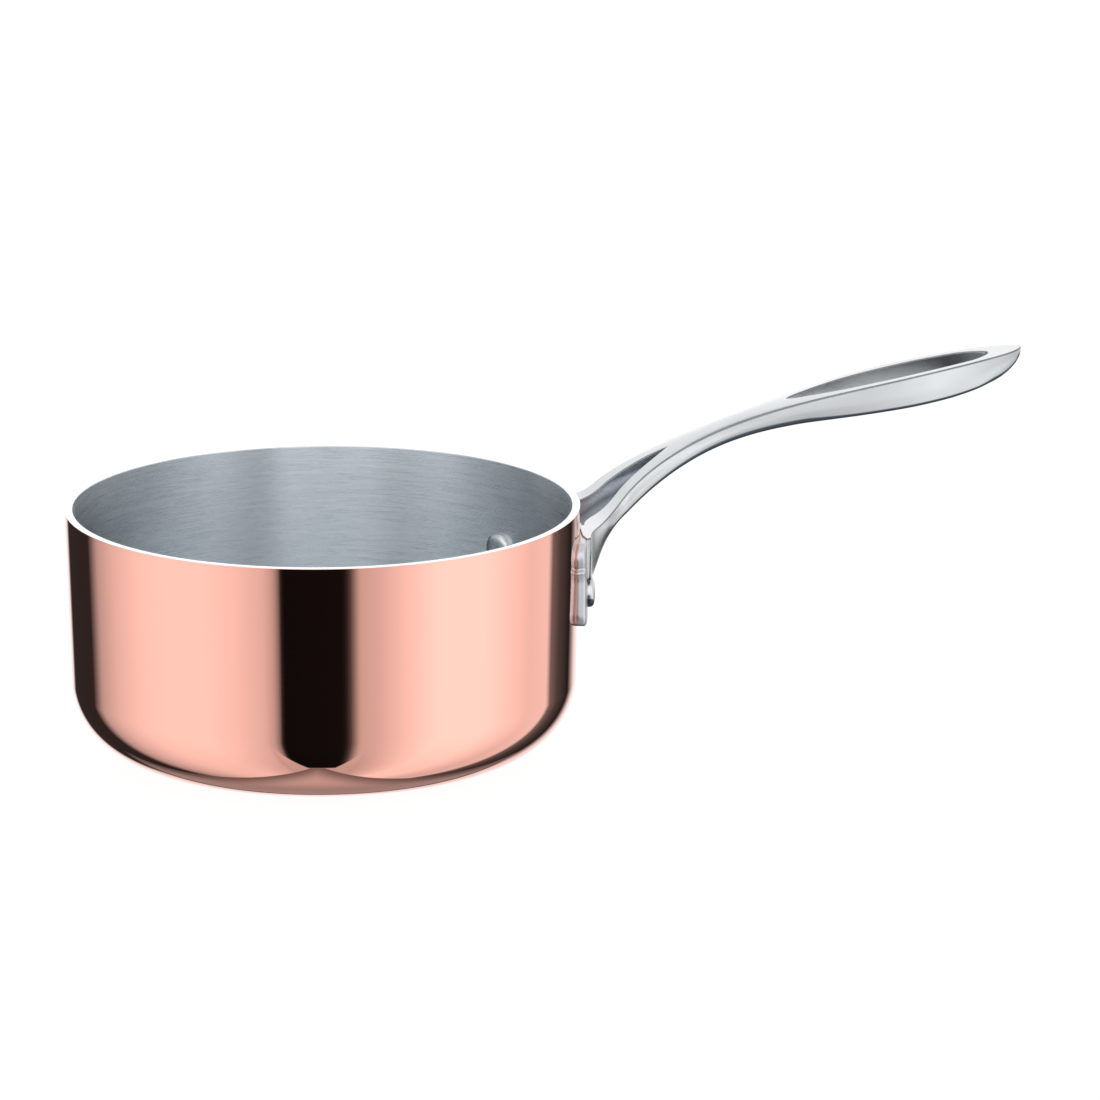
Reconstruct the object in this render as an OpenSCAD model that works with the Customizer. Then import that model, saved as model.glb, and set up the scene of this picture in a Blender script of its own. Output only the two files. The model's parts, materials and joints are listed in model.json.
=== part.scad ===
// Copper saucepan: a deep-drawn pan of three bonded metals, with a cast steel
// handle whose forked root is held to the wall by two solid rivets.
// Millimetres. The origin is the centre of the base's underside, +Z is up and
// the handle points along +X.

/* [Pan] */
// Outside diameter at the rim
rim_d = 160; // [120:2:240]
// Height from the base to the rim
pan_h = 77; // [60:1:160]
// Lean of the wall, wider at the rim
wall_lean = 1.4; // [0:0.1:4]
// Outside radius where the base turns up into the wall
corner_r = 23; // [8:1:30]

/* [Layers] */
// Copper outside
copper_t = 0.5; // [0.3:0.1:1]
// Aluminium in the middle
core_t = 1.5; // [0.8:0.1:3]
// Stainless steel inside
liner_t = 0.5; // [0.3:0.1:1]

/* [Rivets] */
// Depth of the rivets below the rim
rivet_drop = 28; // [22:1:40]
// Straight distance between the two rivets
rivet_spacing = 60; // [40:1:76]
// Diameter of the shank
shank_d = 6; // [4:0.5:8]
// Diameter of the head
head_d = 10; // [8:0.5:12]
// Height of the head
head_h = 2.3; // [1.5:0.1:3]
// Radius of the head's rounded edge
head_edge_r = 1.4; // [0.5:0.1:1.5]
// Gap round the shank in its hole
shank_gap = 0.05; // [0.02:0.01:0.2]

/* [Handle root] */
// Thickness of the lug that lies against the wall
lug_t = 3; // [2:0.1:5]
// Lug below the rivets' centre line
lug_below = 9; // [7:0.5:12]
// Lug above the rivets' centre line
lug_above = 18; // [12:0.5:20]
// Lug past each rivet, measured round the wall
lug_end = 12.3; // [8:0.1:16]
// Length of the fork's pocket, out from the wall
fork_depth = 37.7; // [25:0.1:45]
// Thickness of the web that closes the pocket below
web_t = 3; // [2:0.1:4]

/* [Handle] */
// Reach of the handle, from the wall to the tip
handle_reach = 162; // [140:1:220]
// Height of the tip above the rivets
handle_rise = 58; // [45:1:90]
// Width at the narrow waist
waist_w = 10.8; // [8:0.2:16]
// Width at the widest part of the grip
grip_w = 21.6; // [18:0.2:30]
// Thickness of the grip
grip_depth = 9.6; // [6:0.1:14]
// Length of the rounded tip
tip_len = 42.5; // [30:0.5:60]
// Steel beside the hanging slot
slot_rail = 3.5; // [2.5:0.1:6]
// Steel beyond the hanging slot's end
slot_end_wall = 12; // [8:0.5:20]

/* [Hidden] */
$fn = 96;

// Radius of the rim, and of the wall's outside at a given height.
rim_r = rim_d / 2;
function wall_r(z) = rim_r - (pan_h - z) * tan(wall_lean);

rivet_z = pan_h - rivet_drop;
seat_r = wall_r(rivet_z);
lug_r = seat_r + lug_t;
rivet_turn = asin(rivet_spacing / 2 / seat_r);
lug_half_turn = rivet_turn + lug_end / seat_r * 180 / PI;
lug_low_z = rivet_z - lug_below;
lug_top_z = rivet_z + lug_above;

// The layers' total thickness.
wall_t = copper_t + core_t + liner_t;

// How far past a surface a cutting solid runs.
past = 10;

// Fork: places out from the wall, and half widths across the handle.
waist_x = 56.7;
waist_hw = waist_w / 2;
neck_x = 18.7;
neck_hw = waist_hw + 6.3;
neck_rise = lug_above + 6.7;
root_hw = rivet_spacing / 2 + 2;
root_x = sqrt(lug_r * lug_r - root_hw * root_hw) - seat_r;
fork_hw = rivet_spacing / 2 - 11.5;
root_depth = 13;

// Grip: its widest place, and the places where the hanging slot starts and ends.
grip_hw = grip_w / 2;
grip_x = handle_reach - tip_len;
slot_start_x = waist_x + 22;
slot_end_x = handle_reach - slot_end_wall;
slot_lead = 22;
slot_round = 9;
belly = [grip_x - 1, handle_rise - 4.6 - grip_depth];
steps = 12;

// A point on a cubic curve that starts at a, leaves towards b, and comes in
// from c to end at d.
function curve_point(a, b, c, d, t) =
    pow(1 - t, 3) * a + 3 * pow(1 - t, 2) * t * b + 3 * (1 - t) * t * t * c + t * t * t * d;

// Points along a cubic curve, its last point left for the next curve.
function curve(a, b, c, d) = [for (i = [0 : steps - 1]) curve_point(a, b, c, d, i / steps)];

function reversed(points) = [for (i = [len(points) - 1 : -1 : 0]) points[i]];
function mirrored(points) = [for (p = points) [p.x, -p.y]];

// Half width of the handle between the waist and the tip: it swells smoothly
// to the grip, and the tip is half an ellipse.
function grip_half(x) =
    x < grip_x
    ? waist_hw + (grip_hw - waist_hw) * (1 - cos(180 * (x - waist_x) / (grip_x - waist_x))) / 2
    : grip_hw * sqrt(max(0, 1 - pow((x - grip_x) / tip_len, 2)));

// Half width of the hanging slot: pointed towards the pan, round at its end,
// and one rail's width inside the grip in between.
function slot_half(x) =
    let (lead = min(1, (x - slot_start_x) / slot_lead))
    let (end = max(0, (x - slot_end_x + slot_round) / slot_round))
    (grip_half(x) - slot_rail) * pow(1 - pow(1 - lead, 2), 0.6) * sqrt(max(0, 1 - end * end));

// The outline of one side seen from above, from the wall to the tip.
function side_outline() = concat(
    [[-seat_r / 2, root_hw]],
    curve([root_x, root_hw], [5, root_hw - 9], [10, neck_hw + 1.6], [neck_x, neck_hw]),
    curve([neck_x, neck_hw], [neck_x + 8, neck_hw - 3.0], [waist_x - 15, waist_hw], [waist_x, waist_hw]),
    [for (i = [0 : 2 * steps - 1]) let (x = waist_x + (grip_x - waist_x) * i / (2 * steps))
        [x, grip_half(x)]],
    [for (i = [0 : 2 * steps]) let (x = grip_x + tip_len * sin(45 * i / steps)) [x, grip_half(x)]]);

// One side of the fork's pocket, from the wall to its point.
function fork_outline() = concat(
    [[-seat_r / 2, fork_hw]],
    curve([1, fork_hw], [6.5, 4.6], [fork_depth - 19.7, 6.6], [fork_depth, 0]),
    [[fork_depth, 0]]);

// One side of the hanging slot.
function slot_outline() = let (flat_end = slot_end_x - slot_round) concat(
    [for (i = [0 : 2 * steps - 1])
        let (x = slot_start_x + (flat_end - slot_start_x) * pow(i / (2 * steps), 1.5)) [x, slot_half(x)]],
    [for (i = [0 : steps - 1]) let (x = flat_end + slot_round * sin(90 * i / steps)) [x, slot_half(x)]],
    [[slot_end_x, 0]]);

module both_sides(points) {
    polygon(concat(points, reversed(mirrored(points))));
}

module handle_plan() {
    difference() {
        both_sides(side_outline());
        both_sides(slot_outline());
    }
}

// The underside from the wall to the belly, its lowest place under the grip.
function under_rise() = concat(
    [[-seat_r / 2, lug_above - root_depth]],
    curve([0, lug_above - root_depth], [49, belly.y - 1.3], [67, belly.y - 4.5], belly));

// The handle seen from the side, heights measured from the rivets. The top
// leaves the lug level, climbs through the neck and runs out to the tip; the
// underside climbs steeply to the waist and bellies out under the grip.
module handle_profile() {
    tip = [handle_reach, handle_rise];
    top_edge = concat(
        [[-seat_r / 2, lug_above]],
        curve([0, lug_above], [8, lug_above], [11.4, neck_rise - 7], [neck_x, neck_rise]),
        curve([neck_x, neck_rise], [42, neck_rise + 18], [98, handle_rise - 5.3], tip));
    under_edge = concat(
        under_rise(),
        curve(belly, [grip_x + 20, belly.y + 2.2], [handle_reach - 1.5, handle_rise - 9], tip));
    polygon(concat(top_edge, [tip], reversed(under_edge)));
}

// The pan as a solid, as half a section: its outside moved in by inset. The
// wall leans, and the corner's arc touches both the base and the wall.
module pan_section(inset, top) {
    lean_dir = [cos(wall_lean), -sin(wall_lean)];
    corner_x = wall_r(corner_r) - corner_r * (1 / cos(wall_lean));
    touch = [corner_x, corner_r] + (corner_r - inset) * lean_dir;
    intersection() {
        union() {
            polygon([
                [0, inset], [corner_x, inset], touch,
                [wall_r(top) - inset / cos(wall_lean), top], [0, top]]);
            translate([corner_x, corner_r]) circle(r = corner_r - inset);
        }
        translate([0, -past]) square([rim_d, top + past]);
    }
}

// One layer of the pan, between two insets.
module pan_layer(outer_inset, inner_inset) {
    rotate_extrude($fn = 180) difference() {
        pan_section(outer_inset, pan_h);
        pan_section(inner_inset, pan_h + past);
    }
}

// Moves a child, drawn along +X at the rivets' height, to one rivet's place.
module at_rivet(side) {
    rotate([0, 0, side * rivet_turn]) translate([0, 0, rivet_z]) children();
}

// The shank's hole, drilled through the wall and the lug.
module rivet_hole(side) {
    at_rivet(side) translate([seat_r - 2 * past, 0, 0]) rotate([0, 90, 0])
        cylinder(d = shank_d + 2 * shank_gap, h = 4 * past);
}

// A rivet's head, standing on the XY plane and rooted a little below it.
module rivet_head() {
    flat_r = head_d / 2 - head_edge_r;
    rotate_extrude() {
        translate([0, -1]) square([head_d / 2, head_h - head_edge_r + 1]);
        square([flat_r, head_h]);
        translate([flat_r, head_h - head_edge_r]) circle(r = head_edge_r);
    }
}

module copper_skin() {
    color([0.93, 0.66, 0.55]) difference() {
        pan_layer(0, copper_t);
        rivet_hole(1);
        rivet_hole(-1);
    }
}

module aluminium_core() {
    color([0.80, 0.81, 0.83]) difference() {
        pan_layer(copper_t, copper_t + core_t);
        rivet_hole(1);
        rivet_hole(-1);
    }
}

module steel_liner() {
    color([0.55, 0.58, 0.61]) difference() {
        pan_layer(copper_t + core_t, wall_t);
        rivet_hole(1);
        rivet_hole(-1);
    }
}

// The curved lug: a strip bent round the pan. It starts inside the wall, which
// is cut out of the whole handle later.
module lug() {
    rotate([0, 0, -lug_half_turn]) rotate_extrude(angle = 2 * lug_half_turn, $fn = 180)
        translate([seat_r - lug_t, lug_low_z]) square([2 * lug_t, lug_below + lug_above]);
}

// Everything above the web, seen from the side.
module above_web() {
    web_top = [for (p = under_rise()) [p.x, p.y + web_t]];
    polygon(concat(web_top, [[belly.x, handle_rise + past], [-seat_r / 2, handle_rise + past]]));
}

// A shape seen from above, kept where a shape seen from the side allows it.
module carved() {
    intersection() {
        translate([0, 0, -past]) linear_extrude(height = handle_rise + 3 * past) children(0);
        rotate([90, 0, 0]) translate([0, 0, -rim_r]) linear_extrude(height = rim_d) children(1);
    }
}

// The bar, with the fork's pocket sunk into it down to the web.
module bar() {
    translate([seat_r, 0, rivet_z]) difference() {
        carved() {
            handle_plan();
            handle_profile();
        }
        carved() {
            both_sides(fork_outline());
            above_web();
        }
    }
}

module handle() {
    color([0.83, 0.84, 0.86]) difference() {
        union() {
            lug();
            bar();
        }
        rotate_extrude($fn = 180) pan_section(0, pan_h);
        rivet_hole(1);
        rivet_hole(-1);
    }
}

// A rivet: a shank through the wall and the lug, a head outside that sits on
// the lug, and a head inside that sits on the liner.
module rivet(side) {
    inner_r = seat_r - wall_t;
    at_rivet(side) translate([inner_r - 1, 0, 0]) rotate([0, 90, 0])
        cylinder(d = shank_d, h = wall_t + lug_t + 2);
    difference() {
        at_rivet(side) translate([lug_r, 0, 0]) rotate([0, 90, 0]) rivet_head();
        translate([0, 0, lug_low_z]) cylinder(r = lug_r, h = lug_below + lug_above, $fn = 180);
    }
    intersection() {
        at_rivet(side) translate([inner_r, 0, 0]) rotate([0, -90, 0]) rivet_head();
        rotate_extrude($fn = 180) pan_section(wall_t, pan_h);
    }
}

module rivet_left() {
    color([0.78, 0.79, 0.81]) rivet(1);
}

module rivet_right() {
    color([0.78, 0.79, 0.81]) rivet(-1);
}

copper_skin();
aluminium_core();
steel_liner();
handle();
rivet_left();
rivet_right();
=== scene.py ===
# %% [markdown]
# # A copper saucepan with a cast steel handle
#
# The pan is drawn from a sandwich of three metals: copper outside to spread
# the heat, aluminium in the middle, and stainless steel inside, where the food
# is. Two solid rivets hold a cast handle whose root divides into two arms with
# a pocket between them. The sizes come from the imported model, which this script
# loads as a fixed frame and never moves. Shapes are worked out in millimetres,
# because a maker thinks in them, and are scaled to metres as each mesh is made.

import json
import math

import bmesh
import bpy
import numpy as np
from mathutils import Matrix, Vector

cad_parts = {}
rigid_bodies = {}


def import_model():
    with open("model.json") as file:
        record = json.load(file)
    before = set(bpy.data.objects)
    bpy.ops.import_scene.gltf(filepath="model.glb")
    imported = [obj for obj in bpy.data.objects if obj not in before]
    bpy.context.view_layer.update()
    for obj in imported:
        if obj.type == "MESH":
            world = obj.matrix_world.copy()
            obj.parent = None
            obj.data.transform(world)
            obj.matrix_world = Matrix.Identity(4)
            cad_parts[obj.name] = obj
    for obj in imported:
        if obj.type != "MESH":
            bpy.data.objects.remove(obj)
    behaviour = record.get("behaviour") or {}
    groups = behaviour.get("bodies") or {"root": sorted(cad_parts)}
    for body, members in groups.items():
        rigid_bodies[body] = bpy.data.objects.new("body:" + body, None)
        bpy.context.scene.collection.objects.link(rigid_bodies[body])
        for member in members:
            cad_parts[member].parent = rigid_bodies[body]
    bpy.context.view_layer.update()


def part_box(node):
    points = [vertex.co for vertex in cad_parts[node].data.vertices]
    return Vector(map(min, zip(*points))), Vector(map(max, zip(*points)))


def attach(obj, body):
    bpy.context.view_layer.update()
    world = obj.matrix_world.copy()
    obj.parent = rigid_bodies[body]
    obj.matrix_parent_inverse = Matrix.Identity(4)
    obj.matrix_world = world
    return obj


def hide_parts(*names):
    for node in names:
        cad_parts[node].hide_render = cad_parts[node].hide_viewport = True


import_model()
MM = 0.001

# %% [markdown]
# ## The camera
#
# A long lens far from the pan keeps its walls nearly parallel, as a catalogue
# picture does. The handle points along +X in the model. The camera stands
# 22.5 degrees round from the side view, so that the handle leads away from it,
# and looks down just enough to show the inside of the far wall.

# %% Place the camera
HANDLE_TURN = math.radians(22.5)
LOOK_DOWN = math.radians(14.4251)
CAMERA_AWAY = 1.86858
LENS_MM = 196.56
SENSOR_MM = 36.0
TARGET_OUT = 0.070585
TARGET_HEIGHT = 0.062322
FAR_CLIP = 20.0


def turned_point(x, y, z, turn):
    """A point in metres, turned about the pan's axis."""
    cos_turn, sin_turn = math.cos(turn), math.sin(turn)
    return Vector((x * cos_turn - y * sin_turn, x * sin_turn + y * cos_turn, z))


camera_target = turned_point(TARGET_OUT, 0.0, TARGET_HEIGHT, -HANDLE_TURN)
towards_camera = turned_point(0.0, -math.cos(LOOK_DOWN), math.sin(LOOK_DOWN), -HANDLE_TURN)
camera_data = bpy.data.cameras.new("camera")
camera_data.lens = LENS_MM
camera_data.sensor_width = SENSOR_MM
camera_data.clip_end = FAR_CLIP
camera = bpy.data.objects.new("camera", camera_data)
bpy.context.scene.collection.objects.link(camera)
camera.location = camera_target + CAMERA_AWAY * towards_camera
camera.rotation_euler = (-towards_camera).to_track_quat("-Z", "Y").to_euler()
bpy.context.scene.camera = camera
print("Camera at", [round(v, 3) for v in camera.location])

# %% [markdown]
# ## Helpers for node trees
#
# Every finish and the studio itself are made from nodes. A few small functions
# keep that readable. One adds a node and fills its inputs with numbers or with
# another node's output, one does a single sum, and two carry a value from one
# range to another or blend two values.

# %% Node helpers


def add_node(tree, kind, inputs=None, **settings):
    """Adds a node, applies its settings, and fills inputs with values or links."""
    node = tree.nodes.new(kind)
    for name, value in settings.items():
        setattr(node, name, value)
    for name, value in (inputs or {}).items():
        if isinstance(value, bpy.types.NodeSocket):
            tree.links.new(value, node.inputs[name])
        else:
            node.inputs[name].default_value = value
    return node


def calc(tree, operation, *values):
    """One Math node's answer."""
    return add_node(tree, "ShaderNodeMath", dict(enumerate(values)), operation=operation).outputs[0]


def between(tree, value, low, high, low_out=0.0, high_out=1.0, smooth=True):
    """Carries value from low..high to low_out..high_out, held at both ends."""
    names = ("Value", "From Min", "From Max", "To Min", "To Max")
    inputs = dict(zip(names, (value, low, high, low_out, high_out)))
    kind = "SMOOTHSTEP" if smooth else "LINEAR"
    return add_node(tree, "ShaderNodeMapRange", inputs, interpolation_type=kind).outputs["Result"]


def blended(tree, factor, value_a, value_b):
    """A brightness between two, by factor."""
    return add_node(tree, "ShaderNodeMix", {0: factor, 2: value_a, 3: value_b}).outputs[0]


# %% [markdown]
# ## The studio
#
# Polished metal has no look of its own: it shows the room. This room is a
# light tent with an opening for the camera. Two tall white walls stand left
# and right, the opening between them is black, dark flags stand behind the
# walls, and a dimmer table closes the tent below. It is painted on the world by
# direction, so it costs no geometry and stays still as the camera moves.
# Directions are turned to face the camera's side: zero degrees is the
# opening, positive degrees go to the right.

# %% Read the direction of each ray
# In the Standard view white paper stays white, as on a catalogue page.
bpy.context.scene.view_settings.view_transform = "Standard"
world = bpy.data.worlds.new("light_tent")
bpy.context.scene.world = world
world.use_nodes = True
tent = world.node_tree
tent.nodes.clear()

ray = add_node(tent, "ShaderNodeTexCoord").outputs["Generated"]
turn_inputs = {"Vector": ray, "Angle": HANDLE_TURN}
ray = add_node(tent, "ShaderNodeVectorRotate", turn_inputs, rotation_type="Z_AXIS").outputs[0]
ray_x, ray_y, ray_z = add_node(tent, "ShaderNodeSeparateXYZ", {0: ray}).outputs
backwards = calc(tent, "MULTIPLY", ray_y, -1.0)
round_turn = calc(tent, "ARCTAN2", ray_x, backwards)
level = calc(tent, "SQRT", calc(tent, "SUBTRACT", 1.0, calc(tent, "MULTIPLY", ray_z, ray_z)))
height_angle = calc(tent, "MULTIPLY", calc(tent, "ARCTAN2", ray_z, level), 180 / math.pi)
print("Studio nodes so far:", len(tent.nodes))

# %% [markdown]
# The walls aren't evenly bright. Each glows most in its middle and falls off
# to its ends, which is what draws the pan's roundness in soft steps. A colour
# ramp round the horizon holds that, one brightness for each bearing. Above
# eye level the flags and the opening end, and a second ramp holds the softer
# upper walls, which light the handle's top and the inside of the pan.

# %% Paint the walls, the opening and the flags
LOWER_GLOW = [
    (-180, 1.1), (-162, 1.0), (-157, 0.03), (-128, 0.03), (-124.5, 0.2), (-119, 0.577),
    (-106, 0.866),
    (-96, 1.02), (-86, 1.16), (-72, 1.23), (-53, 1.23), (-39, 1.08), (-25, 0.855), (-20.5, 0.62),
    (-18.2, 0.3), (-17, 0.03), (-15.5, 0.006), (11, 0.008), (13, 0.04), (14.6, 0.12), (16, 0.33),
    (18.5, 0.68), (27, 0.80), (41, 1.11), (55, 1.40), (80, 1.40), (98, 1.13), (109, 0.97),
    (124, 1.02), (128, 0.2), (136, 0.08), (151, 0.012),
]  # fmt: skip
UPPER_GLOW = [
    (-180, 1.4), (-135, 1.2), (-108, 0.5), (-90, 0.75), (-76, 0.95), (-56, 1.55),
    (-38, 1.35), (-16, 1.6),
    (0, 1.35), (18, 1.7), (30, 1.0), (54, 1.6), (67, 1.2), (96, 0.9), (115, 0.9), (135, 1.2),
    (180, 1.4),
]  # fmt: skip
bearing = between(tent, round_turn, -math.pi, math.pi, smooth=False)


def glow_round(table):
    """A brightness for each bearing, as a ramp round the horizon."""
    ramp = add_node(tent, "ShaderNodeValToRGB", {"Fac": bearing})
    stops = ramp.color_ramp.elements
    stops.remove(stops[-1])
    for number, (degrees, glow) in enumerate(table):
        place = (degrees + 180) / 360
        stop = stops[0] if number == 0 else stops.new(place)
        stop.position = place
        stop.color = (glow, glow, glow, 1.0)
    return ramp.outputs["Color"]


lower_glow = glow_round(LOWER_GLOW)
upper_glow = glow_round(UPPER_GLOW)
print("Bearings painted:", len(LOWER_GLOW), "below eye level,", len(UPPER_GLOW), "above")

# %% [markdown]
# Behind the pan, past the flags, the paper backdrop hangs down to the table.
# The opening stops above the table, with its lower corners cut off, and white
# paper shows below it.

# %% Add the backdrop, and shape the opening's foot
FOOT_HALF = 0.09
FOOT_FRONT = 0.585
CHAMFER_RISE = 2.0
BACKDROP_START = 149.0
BACKDROP_FULL = 166.0
PAPER_GLOW = 0.75
degrees_round = calc(tent, "MULTIPLY", round_turn, 180 / math.pi)
off_centre = calc(tent, "ABSOLUTE", degrees_round)
right_backdrop = between(tent, degrees_round, BACKDROP_START, BACKDROP_FULL)
lower_glow = calc(tent, "MAXIMUM", lower_glow, right_backdrop)
fall = calc(tent, "MAXIMUM", calc(tent, "MULTIPLY", ray_z, -1.0), 0.001)
towards_front = calc(tent, "DIVIDE", backwards, fall)
sideways = calc(tent, "DIVIDE", calc(tent, "ABSOLUTE", ray_x), fall)
chamfer = calc(tent, "MAXIMUM", calc(tent, "SUBTRACT", sideways, FOOT_HALF), 0.0)
opening_foot = calc(tent, "MULTIPLY_ADD", chamfer, CHAMFER_RISE, FOOT_FRONT)
under_opening = between(tent, calc(tent, "SUBTRACT", opening_foot, towards_front), 0.0, 0.04)
ahead = between(tent, off_centre, 30.0, 20.0)
paper_glow = calc(tent, "MULTIPLY", calc(tent, "MULTIPLY", under_opening, ahead), PAPER_GLOW)
lower_glow = calc(tent, "MAXIMUM", lower_glow, paper_glow)
deeper = between(tent, height_angle, -20.0, -75.0, 1.0, 0.8)
lower_glow = calc(tent, "MULTIPLY", lower_glow, deeper)

# %% [markdown]
# The table is a panel with straight edges. Where a ray meets a level table
# depends on the slope of the ray, so its sideways parts are divided by how
# steeply it falls. The table glows at its middle, fades to its edges, and is
# a little dimmer at the back, in the pan's shade. A thin grey seam runs round
# the tent where its walls meet the white roof.

# %% Add the table, the seam and the white roof
TABLE_FRONT = 0.56
TABLE_BACK = 1.1
TABLE_LEFT = (-67, 0.294)
TABLE_RIGHT = (70, 0.217)
SEAM_HEIGHT = 56.0
ROOF_GLOW = 1.2


def inside_edge(bearing_degrees, away):
    """How far inside one straight table edge a ray lands, in table heights."""
    turn = math.radians(bearing_degrees)
    across = calc(tent, "MULTIPLY", ray_x, math.sin(turn))
    reach = calc(tent, "MULTIPLY_ADD", backwards, math.cos(turn), across)
    return calc(tent, "SUBTRACT", away, calc(tent, "DIVIDE", reach, fall))


on_table = calc(tent, "MINIMUM", inside_edge(*TABLE_LEFT), inside_edge(*TABLE_RIGHT))
on_table = calc(tent, "MINIMUM", on_table, inside_edge(0, TABLE_FRONT))
on_table = calc(tent, "MINIMUM", on_table, inside_edge(180, TABLE_BACK))
table_mask = between(tent, on_table, 0.0, 0.012)
table_glow = between(tent, on_table, 0.0, 0.25, 0.2, 0.62)
table_shade = between(tent, towards_front, -0.5, 0.1, 0.6, 1.0)
table_glow = calc(tent, "MULTIPLY", table_glow, table_shade)
tent_glow = blended(tent, table_mask, lower_glow, table_glow)
upper_mask = between(tent, height_angle, -14.0, -7.0)
tent_glow = blended(tent, upper_mask, tent_glow, upper_glow)
seam = calc(tent, "ABSOLUTE", calc(tent, "SUBTRACT", height_angle, SEAM_HEIGHT))
seam_glow = between(tent, seam, 2.0, 7.0, 0.35, 1.0)
roof_mask = between(tent, height_angle, SEAM_HEIGHT - 6, SEAM_HEIGHT + 4)
tent_glow = blended(tent, roof_mask, tent_glow, ROOF_GLOW)
tent_glow = calc(tent, "MULTIPLY", tent_glow, seam_glow)
print("Studio nodes:", len(tent.nodes))

# %% Send the tent to reflections, and white paper to the camera
camera_ray = add_node(tent, "ShaderNodeLightPath").outputs["Is Camera Ray"]
tent_light = add_node(tent, "ShaderNodeBackground", {"Color": tent_glow})
paper = add_node(tent, "ShaderNodeBackground", {"Color": (1.0, 1.0, 1.0, 1.0)})
either = {0: camera_ray, 1: tent_light.outputs[0], 2: paper.outputs[0]}
both = add_node(tent, "ShaderNodeMixShader", either)
add_node(tent, "ShaderNodeOutputWorld", {"Surface": both.outputs[0]})
print("Studio nodes in all:", len(tent.nodes))

# %% [markdown]
# ## The floor
#
# The pan stands on a sheet of white paper that glows a little by itself, as
# a lit table does, so no shadow shows on it. The sheet is hidden from mirror
# rays, because the tent's table already plays that part and a second floor
# would put a hard white line round the pan's foot.

# %% Lay the floor
FLOOR_HALF = 3.0
FLOOR_DROP = 0.0002
FLOOR_GREY = 0.05
FLOOR_GLOW = 0.96


def new_material(name):
    """An empty material and its node tree."""
    material = bpy.data.materials.new(name)
    material.use_nodes = True
    material.node_tree.nodes.clear()
    return material, material.node_tree


def finish_material(tree, shader):
    """Ends a material's tree."""
    add_node(tree, "ShaderNodeOutputMaterial", {"Surface": shader.outputs[0]})


def bumped(tree, height, strength, distance, under=None):
    """A surface direction roughened by height, on top of another bump if one is given."""
    inputs = {"Strength": strength, "Distance": distance, "Height": height}
    if under is not None:
        inputs["Normal"] = under
    return add_node(tree, "ShaderNodeBump", inputs).outputs[0]


paper_material, tree = new_material("white_paper")
fibres = add_node(tree, "ShaderNodeTexNoise", {"Scale": 900.0, "Detail": 3.0}).outputs["Fac"]
fibre_bump = bumped(tree, fibres, 0.05, 0.0002)
sheet = add_node(
    tree,
    "ShaderNodeBsdfPrincipled",
    {
        "Base Color": (FLOOR_GREY, FLOOR_GREY, FLOOR_GREY, 1.0),
        "Roughness": 0.8,
        "Specular IOR Level": 0.1,
        "Emission Color": (1.0, 1.0, 1.0, 1.0),
        "Emission Strength": FLOOR_GLOW,
        "Normal": fibre_bump,
    },
)
finish_material(tree, sheet)

floor_mesh = bpy.data.meshes.new("floor")
floor_corners = [(-1, -1), (1, -1), (1, 1), (-1, 1)]
floor_points = [(x * FLOOR_HALF, y * FLOOR_HALF, -FLOOR_DROP) for x, y in floor_corners]
floor_mesh.from_pydata(floor_points, [], [(0, 1, 2, 3)])
floor_mesh.materials.append(paper_material)
floor = bpy.data.objects.new("floor", floor_mesh)
bpy.context.scene.collection.objects.link(floor)
floor.visible_glossy = False
floor.visible_shadow = False

# %% [markdown]
# ## Finish: mirror-polished copper
#
# The skin is buffed on a lathe with fine compound. What is left is a mirror
# with very faint lines round the pan and patches that are a touch duller.
# Copper's colour is its reflection at each wavelength, so it sits in the base
# colour of a fully metallic shader, and the polish sits in the roughness.

# %% A pattern space that runs round the pan


def buffing_lines(tree, round_scale, line_scale):
    """Noise drawn out into lines round the pan's axis, on wall and base alike."""
    place = add_node(tree, "ShaderNodeTexCoord").outputs["Object"]
    x, y, z = add_node(tree, "ShaderNodeSeparateXYZ", {0: place}).outputs
    flat = add_node(tree, "ShaderNodeCombineXYZ", {0: x, 1: y}).outputs[0]
    radius = add_node(tree, "ShaderNodeVectorMath", {0: flat}, operation="LENGTH").outputs["Value"]
    facing = add_node(tree, "ShaderNodeVectorMath", {0: flat}, operation="NORMALIZE").outputs[0]
    facing_x, facing_y, _ = add_node(tree, "ShaderNodeSeparateXYZ", {0: facing}).outputs
    along = calc(tree, "SUBTRACT", z, radius)
    stretched = add_node(
        tree,
        "ShaderNodeCombineXYZ",
        {
            0: calc(tree, "MULTIPLY", facing_x, round_scale),
            1: calc(tree, "MULTIPLY", facing_y, round_scale),
            2: calc(tree, "MULTIPLY", along, line_scale),
        },
    )
    inputs = {"Vector": stretched.outputs[0], "Scale": 1.0, "Detail": 3.0, "Roughness": 0.65}
    return add_node(tree, "ShaderNodeTexNoise", inputs).outputs["Fac"]


def cloud(tree, scale, detail=2.0):
    """Soft noise through space, its scale in patches to the metre."""
    place = add_node(tree, "ShaderNodeTexCoord").outputs["Object"]
    inputs = {"Vector": place, "Scale": scale, "Detail": detail}
    return add_node(tree, "ShaderNodeTexNoise", inputs).outputs["Fac"]


def tinted(tree, factor, colour_a, colour_b):
    """A colour between two, by factor. Each is a colour or another node's output."""
    ends = {6: colour_a, 7: colour_b}
    inputs = {k: v if isinstance(v, bpy.types.NodeSocket) else (*v, 1.0) for k, v in ends.items()}
    return add_node(tree, "ShaderNodeMix", {0: factor, **inputs}, data_type="RGBA").outputs[2]


def metal(tree, colour, roughness, normal, **extra):
    """Ends a material as bare metal."""
    inputs = {"Base Color": colour, "Metallic": 1.0, "Roughness": roughness, "Normal": normal}
    finish_material(tree, add_node(tree, "ShaderNodeBsdfPrincipled", {**inputs, **extra}))


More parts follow.
